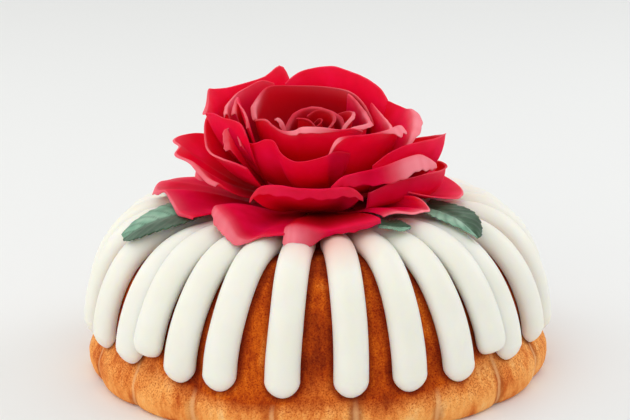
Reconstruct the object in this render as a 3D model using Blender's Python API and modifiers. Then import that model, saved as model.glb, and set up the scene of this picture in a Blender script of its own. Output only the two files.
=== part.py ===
"""A ring cake with piped icing ropes and a silk rose on its crown.

The sponge is one turned ring with shallow flutes and a hole right through. Thick ropes of icing are
piped from the mouth of the hole over the crown and down the outside, each a solid of its own. A silk
rose of overlapping petals covers the hole, with three leaves under it that lie on the ropes.

Metres, +Z up. The origin is the middle of the base, on the surface that the cake stands on. The front
is -Y, and azimuths are degrees from the front towards +X.
"""
import math
import random
from collections import namedtuple

import bmesh
import bpy
from mathutils import Vector

MM = 0.001

# Sponge
SPONGE_CREST_RADIUS = 73 * MM
SPONGE_CREST_HEIGHT = 81 * MM
SPONGE_SIDE_RADIUS = 117.3 * MM
SPONGE_SIDE_HEIGHT = 31 * MM
SPONGE_FOOT_RADIUS = 125 * MM
SPONGE_FOOT_HEIGHT = 10 * MM
SPONGE_UNDERSIDE_RADIUS = 120 * MM
HOLE_RADIUS = 21 * MM
HOLE_MOUTH_RADIUS = 36 * MM
HOLE_MOUTH_HEIGHT = 58 * MM
CROWN_FULLNESS = (2.65, 1.7)
OUTSIDE_STATIONS = 12
MOUTH_STATIONS = 4
FLUTES = 18
FLUTE_CREASE_AZIMUTH = 9
FLUTE_DEPTH = 2.6 * MM
FLUTE_DEPTH_AT_CROWN = 0.5 * MM

# Icing ropes, from the left of the front round to the right: azimuth at the tip and at the crest,
# height of the tip, and whether the rope laps over its neighbours
FRONT_ROPES = (
    (-68, -64.5, 22, False), (-53.5, -49.5, 22.5, False), (-45.5, -41.5, 30, True), (-35.5, -31, 21.5, False),
    (-24.2, -20.5, 21, False), (-8.6, -7, 20.5, False), (7.6, 8, 20.5, False), (22, 21, 20.5, False),
    (35.8, 32, 20.5, False), (46.5, 42.5, 29, True), (54.2, 50, 22, False), (69, 65, 22, False),
)
BACK_ROPES = 16
BACK_ROPE_JITTER = 1.3
LAPPED_BACK_ROPES = (5, 11)
LAPPED_TIP_LIFT = 8
ROPE_WIDTH = 17.2 * MM
ROPE_WIDTH_AT_CREST = 16.2 * MM
ROPE_WIDTH_AT_HOLE = 8.5 * MM
ROPE_HEIGHT = 9.2 * MM
ROPE_HEIGHT_AT_HOLE = 6 * MM
ROPE_SEAT = 1.1 * MM
ROPE_START_RADIUS = 42 * MM
ROPE_LOWEST_TIP = 18 * MM
ROPE_HALF_GAP = 0.18 * MM
ROPE_HEEL = 3 * MM
ROPE_ARC_POINTS = 5
ROPE_TIP_STATIONS = (1, 0.5, 0.15, 0.01)

# Rose
PETAL_THICKNESS = 0.9 * MM
PETAL_ACROSS = 6
PETAL_ALONG = 5
LIP_FROM = 0.6
PETAL_REACH = 0.42
PETAL_TIP_SPREAD = 0.3
CORNER_POWER = 3.2
HEART_PROFILE = ((0, 86), (12, 87), (18, 90), (19.3, 93), (17.4, 96.5), (14.4, 100.5), (11.6, 105), (9, 109),
                 (8, 120), (8.6, 130), (6.5, 135.5), (0, 137))
HEART_TURNS = 20
HEART_SPIRAL = 0.16
HEART_SPIRAL_FROM = 109

# Each ring of petals: radius and height of its base, angle there and at the rim, base share of the width
RINGS = {
    "inner": (12, 106, 62, 88, 0.75),
    "cup": (13.5, 103, 42, 84, 0.7),
    "second": (15, 101, 34, 80, 0.5),
    "tall": (16, 99.6, 28, 76, 0.5),
    "third": (17, 98.2, 20, 58, 0.5),
    "fourth": (18, 96.8, 14, 44, 0.5),
    "low": (19, 95.4, 8, 32, 0.6),
    "skirt": (20, 94, 5, 2, 0.75),
}

# A petal: its ring, azimuth, half its width in degrees, radius and height of the rim, rise of the rim
# towards the right, length of the rolled lip at left and at right, how far the lip rolls over, how far
# its tip stands out and where (-1 left, 1 right), and how much its corners are rounded off
Petal = namedtuple("Petal", "ring azimuth half radius height rise lips roll tip tip_at corner",
                   defaults=(0, (4, 4), 90, 0, 0, 0.24))
PETALS = (
    Petal("inner", -30, 78, 18, 136, 0, (2, 2), 60),
    Petal("inner", 150, 78, 19, 139, 0, (2, 2), 60),
    Petal("cup", -8, 58, 30, 133, 0, (3, 2), 120),
    Petal("cup", 112, 58, 29, 139, 2, (3, 2), 110),
    Petal("cup", 232, 58, 31, 142, 0, (3, 2), 110),
    Petal("second", 106, 33, 43, 138, 2, (2, 3), 90),
    Petal("second", 165, 42, 42, 150, -2, (2, 2), 60),
    Petal("second", -124, 36, 43, 145, 3, (3, 3), 100),
    Petal("tall", -24, 44, 42, 122.5, 0, (2, 2), 60, corner=0.1),
    Petal("tall", 42, 32, 45, 133, -1, (4, 6), 140, corner=0.16),
    Petal("tall", -121, 42, 57, 148.5, -2.5, (2, 2), 40, tip=4, tip_at=-0.85, corner=0.04),
    Petal("third", -74, 30, 51, 124, -2, (4, 3), 120),
    Petal("third", 45, 30, 57, 116.5, 4, (2, 12), 140, corner=0.1),
    Petal("third", 116, 36, 57, 122, 3, (3, 3), 110),
    Petal("fourth", -88, 28, 72, 122, 0, (3, 2), 90, tip=4, tip_at=0, corner=0.16),
    Petal("fourth", 94, 21, 67, 117, 2, (2, 3), 40, tip=4, tip_at=0.5, corner=0.06),
    Petal("fourth", 176, 42, 68, 120, 0, (4, 4), 90),
    Petal("low", -10, 25, 61.5, 110.5, -0.5, (8, 6), 130, corner=0.16),
    Petal("low", -65, 27, 73, 111.5, -4, (5, 2), 100, tip=3, tip_at=-0.9, corner=0.14),
    Petal("skirt", -21, 18.5, 87, 96.8, 1.4, (5.5, 2), 105, corner=0.14),
    Petal("skirt", 12, 16.5, 77, 95.4, 1.6, (5, 2), 90, corner=0.14),
    Petal("skirt", 44, 15, 79, 98.5, 0, (3, 2), 50),
    Petal("skirt", 82, 22, 76, 97, 0, (3, 2), 50, tip=4, tip_at=0.1),
    Petal("skirt", -64, 22, 83, 98.5, 0, (5, 2), 110, tip=4, tip_at=-0.8, corner=0.14),
    Petal("skirt", 127, 22, 78, 97, 0, (4, 3), 90),
    Petal("skirt", 177, 27, 82, 97, 0, (4, 3), 90),
    Petal("skirt", -121, 33, 80, 97, 0, (4, 3), 90),
)

# Leaves: azimuth and distance along the ropes from the crest at the base and at the tip, width, and
# which side is raised off the ropes (-1 left, 1 right)
LEAVES = (
    ("leaf_left", (-57, -5), (-67, 30), 33, -1),
    ("leaf_right", (61, -8), (52, 25), 25, 1),
    ("leaf_front", (25, 1), (34, 10), 11, 1),
)
LEAF_THICKNESS = 0.8 * MM
LEAF_LIFT = 0.9 * MM
LEAF_RAISE = 2 * MM
LEAF_WAVE = 0.5 * MM
LEAF_ACROSS = 4
LEAF_ALONG = 8


def clear_scene():
    for old in list(bpy.data.objects):
        bpy.data.objects.remove(old, do_unlink=True)


def make_collection(name):
    collection = bpy.data.collections.new(name)
    bpy.context.scene.collection.children.link(collection)
    return collection


def make_material(name, colour, roughness):
    material = bpy.data.materials.new(name)
    material.use_nodes = True
    shader = material.node_tree.nodes["Principled BSDF"]
    shader.inputs["Base Color"].default_value = (*colour, 1)
    shader.inputs["Roughness"].default_value = roughness
    shader.inputs["Metallic"].default_value = 0
    return material


def add_object(name, mesh, collection, material, smooth=True):
    mesh.materials.clear()
    mesh.materials.append(material)
    if smooth:
        mesh.shade_smooth()
    thing = bpy.data.objects.new(name, mesh)
    collection.objects.link(thing)
    return thing


def mesh_from_bmesh(name, shape):
    mesh = bpy.data.meshes.new(name)
    shape.to_mesh(mesh)
    shape.free()
    return mesh


def applied(thing):
    """The evaluated mesh of an object, as a mesh of its own; the object is removed."""
    graph = bpy.context.evaluated_depsgraph_get()
    mesh = bpy.data.meshes.new_from_object(thing.evaluated_get(graph))
    mesh.transform(thing.matrix_world)
    bpy.data.objects.remove(thing, do_unlink=True)
    return mesh


def turned(name, profile, steps, collection, closed):
    """A profile of (radius, height) points turned round the Z axis."""
    mesh = bpy.data.meshes.new(name)
    count = len(profile)
    edges = [(i, i + 1) for i in range(count - 1)] + ([(count - 1, 0)] if closed else [])
    mesh.from_pydata([(r, 0, z) for r, z in profile], edges, [])
    thing = bpy.data.objects.new(name, mesh)
    collection.objects.link(thing)
    screw = thing.modifiers.new("Turn", "SCREW")
    screw.steps = steps
    screw.render_steps = steps
    screw.use_merge_vertices = True
    screw.merge_threshold = 0.00005
    return applied(thing)


def polar(azimuth, radius, height):
    return Vector((radius * math.sin(azimuth), -radius * math.cos(azimuth), height))


def blend(a, b, share):
    return a + (b - a) * share


def ease(share):
    share = min(max(share, 0), 1)
    return share * share * (3 - 2 * share)


def crown_quarter(end_radius, end_height, count):
    """Points from the crest down to one side, a quarter of a superellipse."""
    fullness_r, fullness_z = CROWN_FULLNESS
    points = []
    for i in range(count + 1):
        angle = i / count * math.pi / 2
        radius = blend(SPONGE_CREST_RADIUS, end_radius, math.sin(angle) ** (2 / fullness_r))
        height = blend(end_height, SPONGE_CREST_HEIGHT, max(math.cos(angle), 0) ** (2 / fullness_z))
        points.append((radius, height))
    return points


def foot_curve(count):
    """The side swells out below the icing and curls under to the base."""
    points = []
    for i in range(1, count + 1):
        share = i / count
        height = blend(SPONGE_SIDE_HEIGHT, SPONGE_FOOT_HEIGHT, share)
        points.append((blend(SPONGE_SIDE_RADIUS, SPONGE_FOOT_RADIUS, ease(share * 1.05)), height))
    under = SPONGE_FOOT_RADIUS - SPONGE_UNDERSIDE_RADIUS
    for i in range(1, count):
        angle = i / (count - 1) * math.pi / 2
        radius = SPONGE_UNDERSIDE_RADIUS + under * math.cos(angle)
        points.append((radius, SPONGE_FOOT_HEIGHT * (1 - math.sin(angle))))
    return points


def outer_meridian(count=60):
    """Dense half section: mouth of the hole, crest, side and foot, in that order."""
    inner = crown_quarter(HOLE_MOUTH_RADIUS, HOLE_MOUTH_HEIGHT, count)
    outer = crown_quarter(SPONGE_SIDE_RADIUS, SPONGE_SIDE_HEIGHT, count)
    return inner[::-1] + outer[1:] + foot_curve(count // 3)


class Meridian:
    """The outside of the sponge by distance from the crest: positive down the outside."""

    def __init__(self):
        self.points = outer_meridian()
        self.along = [0.0]
        for a, b in zip(self.points, self.points[1:]):
            self.along.append(self.along[-1] + math.dist(a, b))
        crest = max(range(len(self.points)), key=lambda i: self.points[i][1])
        shift = self.along[crest]
        self.along = [s - shift for s in self.along]
        self.outside = [self.along[-1] * i / OUTSIDE_STATIONS for i in range(OUTSIDE_STATIONS + 1)]
        self.mouth = [self.along[0] * i / MOUTH_STATIONS for i in range(MOUTH_STATIONS, 0, -1)]

    def at(self, distance):
        """Radius, height and outward normal at a distance from the crest."""
        distance = min(max(distance, self.along[0]), self.along[-1])
        i = next((k for k in range(1, len(self.along)) if self.along[k] >= distance), len(self.along) - 1)
        share = (distance - self.along[i - 1]) / (self.along[i] - self.along[i - 1])
        a, b = self.points[i - 1], self.points[i]
        first, last = self.points[max(i - 4, 0)], self.points[min(i + 3, len(self.points) - 1)]
        run = math.dist(first, last)
        normal = (-(last[1] - first[1]) / run, (last[0] - first[0]) / run)
        return blend(a[0], b[0], share), blend(a[1], b[1], share), normal

    def distance_at_height(self, height):
        """Distance at which the outer side comes down to a height."""
        for (a, b, s, t) in zip(self.points, self.points[1:], self.along, self.along[1:]):
            if t > 0 and b[1] <= height <= a[1]:
                return blend(s, t, (a[1] - height) / max(a[1] - b[1], 1e-9))
        raise ValueError("height is off the side")

    def distance_at_inner_radius(self, radius):
        """Distance, negative, at which the inner slope has a radius."""
        for (a, b, s, t) in zip(self.points, self.points[1:], self.along, self.along[1:]):
            if t <= 0 and a[0] <= radius <= b[0]:
                return blend(s, t, (radius - a[0]) / max(b[0] - a[0], 1e-9))
        raise ValueError("radius is off the inner slope")


def flute_depth(height):
    """Flutes are pressed deep at the foot and fade towards the crown."""
    return blend(FLUTE_DEPTH, FLUTE_DEPTH_AT_CROWN, ease(height / SPONGE_CREST_HEIGHT * 1.6))


def make_sponge(meridian, collection, material):
    outside = [meridian.at(distance)[:2] for distance in meridian.outside]
    mouth = [meridian.at(distance)[:2] for distance in meridian.mouth]
    profile = outside[:-1] + [(SPONGE_UNDERSIDE_RADIUS, 0), (HOLE_RADIUS, 0)] + mouth
    mesh = turned("sponge", profile, FLUTES * 4, collection, closed=True)
    for vertex in mesh.vertices:
        place = vertex.co
        radius = math.hypot(place.x, place.y)
        if radius < SPONGE_CREST_RADIUS:
            continue
        azimuth = math.atan2(place.x, -place.y)
        crease = math.cos((azimuth - math.radians(FLUTE_CREASE_AZIMUTH)) * FLUTES) * 0.5 + 0.5
        shrink = 1 - flute_depth(place.z) * crease ** 1.5 / radius
        place.x *= shrink
        place.y *= shrink
    return add_object("sponge", mesh, collection, material)


def rope_list():
    """Tip azimuth, crest azimuth, tip height and lap of every rope, in order round the cake."""
    draw = random.Random(7)
    ropes = list(FRONT_ROPES)
    start = FRONT_ROPES[-1][0]
    step = (360 + FRONT_ROPES[0][0] - start) / (BACK_ROPES + 1)
    for i in range(1, BACK_ROPES + 1):
        laps = i in LAPPED_BACK_ROPES
        azimuth = start + step * i + draw.uniform(-BACK_ROPE_JITTER, BACK_ROPE_JITTER) * (not laps)
        height = 21 + draw.uniform(-1.5, 2.5) + LAPPED_TIP_LIFT * laps
        ropes.append((azimuth, start + step * i, height, laps))
    return ropes


def rope_azimuth(rope, distance, length):
    """A rope's azimuth swings a little between the crest and its tip."""
    return math.radians(blend(rope[1], rope[0], ease(distance / length)))


def rope_width(distance, length, start):
    if distance > 0:
        return blend(ROPE_WIDTH_AT_CREST, ROPE_WIDTH, ease(distance / length * 1.3))
    return blend(ROPE_WIDTH_AT_CREST, ROPE_WIDTH_AT_HOLE, ease(distance / start))


def rope_bounds(ropes, index, distance, length):
    """Azimuths that a rope keeps between at one distance: midway to each neighbour, or its side if it laps."""
    rope = ropes[index]
    before, after = ropes[index - 1], ropes[(index + 1) % len(ropes)]
    own = rope_azimuth(rope, distance, length)
    low, high = rope_azimuth(before, distance, length), rope_azimuth(after, distance, length)
    low -= 2 * math.pi * (low > own)
    high += 2 * math.pi * (high < own)
    shares = {(True, False): 0.56, (False, True): 0.44}
    left = blend(own, low, shares.get((rope[3], before[3]), 0.5))
    right = blend(own, high, shares.get((rope[3], after[3]), 0.5))
    return left, right


def make_rope(name, ropes, index, meridian, collection, material):
    """A domed rope lofted along the sponge, with a round tip, squeezed where its neighbours crowd it."""
    rope = ropes[index]
    start = meridian.distance_at_inner_radius(ROPE_START_RADIUS)
    end = meridian.distance_at_height(rope[2] * MM)
    length = meridian.distance_at_height(ROPE_LOWEST_TIP)
    half_tip = ROPE_WIDTH / 2
    clear = 3 * MM
    stations = [start]
    stations += [s for s in meridian.mouth + meridian.outside if start + clear < s < end - half_tip - clear]
    stations += [end - half_tip * share for share in ROPE_TIP_STATIONS]
    shape = bmesh.new()
    rings = []
    for distance in stations:
        radius, height, normal = meridian.at(distance)
        tip = min((end - distance) / half_tip, 1)
        roundness = math.sqrt(max(1 - (1 - tip) ** 2, 0))
        heel = min((distance - start) / ROPE_HEEL + 0.4, 1)
        half = rope_width(distance, length, start) / 2 * roundness * heel
        tall = blend(ROPE_HEIGHT, ROPE_HEIGHT_AT_HOLE, ease(distance / start)) * roundness ** 0.9 * heel
        left, right = rope_bounds(ropes, index, distance, length)
        gap = ROPE_HALF_GAP / radius
        middle = rope_azimuth(rope, distance, length)
        ring = []
        for k in range(ROPE_ARC_POINTS + 2):
            angle = math.pi * k / (ROPE_ARC_POINTS + 1)
            azimuth = middle - math.cos(angle) * half / radius
            azimuth = min(max(azimuth, left + gap), right - gap)
            lift = ROPE_SEAT + tall * math.sin(angle)
            ring.append(shape.verts.new(polar(azimuth, radius + normal[0] * lift, height + normal[1] * lift)))
        rings.append(ring)
    close_loft(shape, rings)
    return add_object(name, mesh_from_bmesh(name, shape), collection, material)


def close_loft(shape, rings):
    """Joins closed rings of points side by side, and caps both ends."""
    for a, b in zip(rings, rings[1:]):
        for k in range(len(a)):
            n = (k + 1) % len(a)
            shape.faces.new((a[k], a[n], b[n], b[k]))
    shape.faces.new(rings[0][::-1])
    shape.faces.new(rings[-1])
    bmesh.ops.recalc_face_normals(shape, faces=shape.faces)
    bmesh.ops.triangulate(shape, faces=shape.faces)


def bezier(a, b, c, d, t):
    s = 1 - t
    return tuple(s ** 3 * i + 3 * s * s * t * j + 3 * s * t * t * k + t ** 3 * m
                 for i, j, k, m in zip(a, b, c, d))


def petal_section(petal, u, t):
    """Radius and height, in mm, at a share t of the way from the base to the rim, at u across."""
    base_radius, base_height, base_angle, rim_angle = RINGS[petal.ring][:4]
    base = (base_radius, base_height)
    rise = math.radians(rim_angle)
    tip = petal.tip * math.exp(-((u - petal.tip_at) / PETAL_TIP_SPREAD) ** 2)
    rim = (petal.radius + tip * math.cos(rise), petal.height + petal.rise * u + tip * math.sin(rise))
    reach = math.dist(base, rim) * PETAL_REACH
    first = (base[0] + reach * math.cos(math.radians(base_angle)),
             base[1] + reach * math.sin(math.radians(base_angle)))
    second = (rim[0] - reach * math.cos(rise), rim[1] - reach * math.sin(rise))
    return bezier(base, first, second, rim, t)


def petal_point(petal, u, v):
    """A point of a petal: u runs -1 to 1 across, v runs 0 at the base to 1 at the end of the rolled lip."""
    t = min(v / LIP_FROM, 1) * (1 - petal.corner * abs(u) ** CORNER_POWER)
    radius, height = petal_section(petal, u, t)
    if v > LIP_FROM:
        before = petal_section(petal, u, t - 0.02)
        heading = math.atan2(height - before[1], radius - before[0])
        share = (v - LIP_FROM) / (1 - LIP_FROM)
        length = blend(petal.lips[0], petal.lips[1], u * 0.5 + 0.5)
        turn = math.radians(petal.roll) * (1 - 0.35 * abs(u) ** 3)
        radius += length / turn * (math.sin(heading) - math.sin(heading - turn * share))
        height += length / turn * (math.cos(heading - turn * share) - math.cos(heading))
    base_share = RINGS[petal.ring][4]
    spread = blend(base_share, 1, math.sin(min(t, 1) * math.pi / 2) ** 0.8)
    return polar(math.radians(petal.azimuth + u * petal.half * spread), radius * MM, height * MM)


def bent_sheet(name, across, along, thickness, place, collection, material):
    """A grid bent by a rule, split into triangles and given a thickness, so both faces match."""
    shape = bmesh.new()
    bmesh.ops.create_grid(shape, x_segments=across, y_segments=along, size=1)
    for vertex in shape.verts:
        vertex.co = place(vertex.co.x, vertex.co.y * 0.5 + 0.5)
    bmesh.ops.triangulate(shape, faces=shape.faces)
    thing = add_object(name, mesh_from_bmesh(name, shape), collection, material)
    solid = thing.modifiers.new("Thickness", "SOLIDIFY")
    solid.thickness = thickness
    solid.offset = 0
    return thing


def make_petal(name, petal, collection, material):
    return bent_sheet(name, PETAL_ACROSS, PETAL_ALONG, PETAL_THICKNESS,
                      lambda u, v: petal_point(petal, u, v), collection, material)


def make_heart(collection, material):
    """The rolled heart of the rose on its receptacle, with the spiral edge of the roll."""
    profile = [(r * MM, z * MM) for r, z in HEART_PROFILE][::-1]
    mesh = turned("rose_heart", profile, HEART_TURNS, collection, closed=False)
    for vertex in mesh.vertices:
        place = vertex.co
        turn = (math.atan2(place.y, place.x) / (2 * math.pi)) % 1
        grow = 1 + HEART_SPIRAL * (turn - 0.5) * ease((place.z / MM - HEART_SPIRAL_FROM) / 6)
        place.x *= grow
        place.y *= grow
    return add_object("rose_heart", mesh, collection, material)


def make_leaf(spec, meridian, collection, material):
    """A leaf that lies over the ropes: folded along its midrib, waved at its edges, pointed at its tip."""
    name, base, tip, width, raised_side = spec
    top_of_ropes = ROPE_SEAT + ROPE_HEIGHT + LEAF_LIFT

    def place(u, v):
        azimuth = math.radians(blend(base[0], tip[0], v))
        distance = blend(base[1], tip[1], v) * MM
        half = width * MM / 2 * math.sin(math.pi * min(0.12 + v * 0.86, 0.985)) ** 0.75
        run = math.atan2(math.radians(tip[0] - base[0]) * SPONGE_CREST_RADIUS / MM, tip[1] - base[1])
        side = half * u
        distance -= side * math.sin(run)
        radius, height, normal = meridian.at(distance)
        azimuth += side * math.cos(run) / (radius + top_of_ropes)
        lift = top_of_ropes + LEAF_RAISE * max(u * raised_side, 0) * (1 - 0.6 * v)
        lift += LEAF_WAVE * (math.sin(v * 9 + u * 2) * abs(u) + 1)
        return polar(azimuth, radius + normal[0] * lift, height + normal[1] * lift)

    return bent_sheet(name, LEAF_ACROSS, LEAF_ALONG, LEAF_THICKNESS, place, collection, material)


def build():
    clear_scene()
    collection = make_collection("bundt_cake")
    sponge = make_material("sponge", (0.52, 0.21, 0.06), 0.8)
    icing = make_material("icing", (0.86, 0.83, 0.72), 0.45)
    silk = make_material("rose_silk", (0.52, 0.0, 0.03), 0.7)
    leaf_cloth = make_material("leaf_cloth", (0.09, 0.17, 0.11), 0.7)
    meridian = Meridian()
    make_sponge(meridian, collection, sponge)
    ropes = rope_list()
    for i in range(len(ropes)):
        make_rope(f"icing_rope_{i + 1:02d}", ropes, i, meridian, collection, icing)
    make_heart(collection, silk)
    for i, petal in enumerate(PETALS):
        make_petal(f"rose_petal_{i + 1:02d}", petal, collection, silk)
    for spec in LEAVES:
        make_leaf(spec, meridian, collection, leaf_cloth)


build()
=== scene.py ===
import math
import random
from collections import namedtuple

import bpy
from mathutils import Matrix, Vector, noise


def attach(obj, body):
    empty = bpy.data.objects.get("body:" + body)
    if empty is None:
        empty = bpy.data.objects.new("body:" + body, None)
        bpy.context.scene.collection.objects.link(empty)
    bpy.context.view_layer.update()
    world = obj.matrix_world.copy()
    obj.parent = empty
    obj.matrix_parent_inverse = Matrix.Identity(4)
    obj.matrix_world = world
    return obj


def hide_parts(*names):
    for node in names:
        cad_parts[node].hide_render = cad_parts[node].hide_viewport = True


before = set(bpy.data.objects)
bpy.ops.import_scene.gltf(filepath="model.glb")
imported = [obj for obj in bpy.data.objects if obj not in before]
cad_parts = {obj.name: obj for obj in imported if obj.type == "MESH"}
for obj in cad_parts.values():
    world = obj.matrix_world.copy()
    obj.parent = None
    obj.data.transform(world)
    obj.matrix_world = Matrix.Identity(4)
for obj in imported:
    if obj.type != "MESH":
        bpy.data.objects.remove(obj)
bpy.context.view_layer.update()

# Sponge.
# A butter cake baked upside down in a fluted ring pan and turned out. Its crust is golden brown and
# open-pored, each flute of the pan left a crease, and the last centimetre above the base stayed paler.
MM = 0.001
SPONGE_CREST_RADIUS = 73 * MM
SPONGE_CREST_HEIGHT = 81 * MM
SPONGE_SIDE_RADIUS = 117.3 * MM
SPONGE_SIDE_HEIGHT = 31 * MM
SPONGE_FOOT_RADIUS = 125 * MM
SPONGE_FOOT_HEIGHT = 10 * MM
SPONGE_UNDERSIDE_RADIUS = 120 * MM
HOLE_RADIUS = 21 * MM
HOLE_MOUTH_RADIUS = 36 * MM
HOLE_MOUTH_HEIGHT = 58 * MM
CROWN_FULLNESS = (2.65, 1.7)
FOOT_SWELL = 1.05

# The flutes, how far they fade upwards, and the fine and the broad part of the crease between two
FLUTES = 18
FLUTE_CREASE_AZIMUTH = math.radians(9)
FLUTE_DEPTH = 2.4 * MM
FLUTE_DEPTH_AT_CROWN = 0.5 * MM
FLUTE_SPREAD = 20 * MM
FLUTE_FADE = 1.6
CREASE_FINE = 18
CREASE_BROAD = 1.5
CREASE_FINE_SHARE = 0.45

# Lumps of the crust, as their number in a metre and their share of the depth, and the height up to which
# the crust is golden at the front and at the back: low at the front it is paler crust, and the greater
# height towards the sides and back is partly painted side light
LUMP_DEPTH = 0.7 * MM
LUMPS_PER_METRE = ((90, 0.5), (260, 0.3), (600, 0.2))
SMOOTH_BASE = 6 * MM
GOLDEN_AND_SIDE_LIT_HEIGHT = (14 * MM, 28 * MM)
GOLDEN_AND_SIDE_LIT_RISE = 2.2

# Steps of the mesh
SPONGE_AROUND = 540
SPONGE_DOWN = 130
SPONGE_MOUTH_DOWN = 40
SPONGE_BASE_STEPS = 8
SPONGE_TUBE_STEPS = 10
NORMAL_SPAN = 4


def linear(hex_colour):
    """An sRGB hex colour as linear red, green, blue and alpha."""
    parts = [int(hex_colour[i:i + 2], 16) / 255 for i in (1, 3, 5)]
    return (*(c / 12.92 if c <= 0.04045 else ((c + 0.055) / 1.055) ** 2.4 for c in parts), 1)


def add_node(material, kind, links=None, values=None, stops=None, **settings):
    """A shader node with its settings and values; links name the node and output that feed a socket."""
    tree = material.node_tree
    node = tree.nodes.new("ShaderNode" + kind)
    for name, value in settings.items():
        setattr(node, name, value)
    for socket, value in (values or {}).items():
        node.inputs[socket].default_value = value
    for socket, (source, output) in (links or {}).items():
        tree.links.new(source.outputs[output], node.inputs[socket])
    if stops:
        ramp = node.color_ramp
        while len(ramp.elements) < len(stops):
            ramp.elements.new(0.5)
        for element, (place, colour) in zip(ramp.elements, stops):
            element.position = place
            element.color = linear(colour)
    return node


def new_material(name, **values):
    """A material and its Principled shader, with the shader's own sockets set."""
    material = bpy.data.materials.new(name)
    material.use_nodes = True
    shader = material.node_tree.nodes["Principled BSDF"]
    for socket, value in values.items():
        shader.inputs[socket.replace("_", " ")].default_value = value
    return material, shader


def blend(a, b, share):
    """The value at a share of the way from a to b."""
    return a + (b - a) * share


def ease(share):
    """A share from 0 to 1 that starts and ends slowly."""
    share = min(max(share, 0), 1)
    return share * share * (3 - 2 * share)


def polar(azimuth, radius, height):
    """A point by its azimuth from the front, towards the right, its radius and its height."""
    return Vector((radius * math.sin(azimuth), -radius * math.cos(azimuth), height))


def grid_piece(name, rows, columns, place, material, closed_rows=False, closed_columns=False, marks=()):
    """A smooth grid of quads. place(row share, column share) gives a point and the marks' values."""
    row_steps = rows if closed_rows else rows - 1
    column_steps = columns if closed_columns else columns - 1
    places = [place(i / row_steps, j / column_steps) for i in range(rows) for j in range(columns)]
    faces = []
    for i in range(row_steps):
        for j in range(column_steps):
            down, across = (i + 1) % rows, (j + 1) % columns
            faces.append((i * columns + j, i * columns + across,
                          down * columns + across, down * columns + j))
    mesh = bpy.data.meshes.new(name)
    mesh.from_pydata([point for point, _ in places], [], faces)
    for k, mark in enumerate(marks):
        layer = mesh.attributes.new(mark, "FLOAT", "POINT")
        layer.data.foreach_set("value", [values[k] for _, values in places])
    mesh.shade_smooth()
    mesh.materials.append(material)
    piece = bpy.data.objects.new(name, mesh)
    bpy.context.scene.collection.objects.link(piece)
    return piece


def crown_quarter(end_radius, end_height, count):
    """Points from the crest down to one side, a quarter of a superellipse."""
    fullness_r, fullness_z = CROWN_FULLNESS
    points = []
    for i in range(count + 1):
        angle = i / count * math.pi / 2
        radius = blend(SPONGE_CREST_RADIUS, end_radius, math.sin(angle) ** (2 / fullness_r))
        height = blend(end_height, SPONGE_CREST_HEIGHT, max(math.cos(angle), 0) ** (2 / fullness_z))
        points.append((radius, height))
    return points


def foot_curve(count):
    """The side swells out below the icing and curls under to the base."""
    points = []
    for i in range(1, count + 1):
        share = i / count
        height = blend(SPONGE_SIDE_HEIGHT, SPONGE_FOOT_HEIGHT, share)
        points.append((blend(SPONGE_SIDE_RADIUS, SPONGE_FOOT_RADIUS, ease(share * FOOT_SWELL)), height))
    under = SPONGE_FOOT_RADIUS - SPONGE_UNDERSIDE_RADIUS
    for i in range(1, count):
        angle = i / (count - 1) * math.pi / 2
        radius = SPONGE_UNDERSIDE_RADIUS + under * math.cos(angle)
        points.append((radius, SPONGE_FOOT_HEIGHT * (1 - math.sin(angle))))
    return points


class Meridian:
    """The outside of the sponge by distance from the crest: negative into the mouth of the hole."""

    def __init__(self, count=60):
        inner = crown_quarter(HOLE_MOUTH_RADIUS, HOLE_MOUTH_HEIGHT, count)
        outer = crown_quarter(SPONGE_SIDE_RADIUS, SPONGE_SIDE_HEIGHT, count)
        self.points = inner[::-1] + outer[1:] + foot_curve(count // 3)
        self.along = [0.0]
        for a, b in zip(self.points, self.points[1:]):
            self.along.append(self.along[-1] + math.dist(a, b))
        crest = max(range(len(self.points)), key=lambda i: self.points[i][1])
        shift = self.along[crest]
        self.along = [s - shift for s in self.along]

    def at(self, distance):
        """Radius, height and outward normal at a distance from the crest."""
        distance = min(max(distance, self.along[0]), self.along[-1])
        low, high = 1, len(self.along) - 1
        while low < high:
            middle = (low + high) // 2
            if self.along[middle] >= distance:
                high = middle
            else:
                low = middle + 1
        i = low
        share = (distance - self.along[i - 1]) / (self.along[i] - self.along[i - 1])
        a, b = self.points[i - 1], self.points[i]
        first = self.points[max(i - NORMAL_SPAN, 0)]
        last = self.points[min(i + NORMAL_SPAN - 1, len(self.points) - 1)]
        run = math.dist(first, last)
        normal = (-(last[1] - first[1]) / run, (last[0] - first[0]) / run)
        return blend(a[0], b[0], share), blend(a[1], b[1], share), normal

    def distance_at_height(self, height):
        """Distance at which the outer side comes down to a height."""
        for (a, b, s, t) in zip(self.points, self.points[1:], self.along, self.along[1:]):
            if t > 0 and b[1] <= height <= a[1]:
                return blend(s, t, (a[1] - height) / max(a[1] - b[1], 1e-9))
        raise ValueError("height is off the side")

    def distance_at_inner_radius(self, radius):
        """Distance, negative, at which the inner slope has a radius."""
        for (a, b, s, t) in zip(self.points, self.points[1:], self.along, self.along[1:]):
            if t <= 0 and a[0] <= radius <= b[0]:
                return blend(s, t, (radius - a[0]) / max(b[0] - a[0], 1e-9))
        raise ValueError("radius is off the inner slope")


meridian = Meridian()
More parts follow.
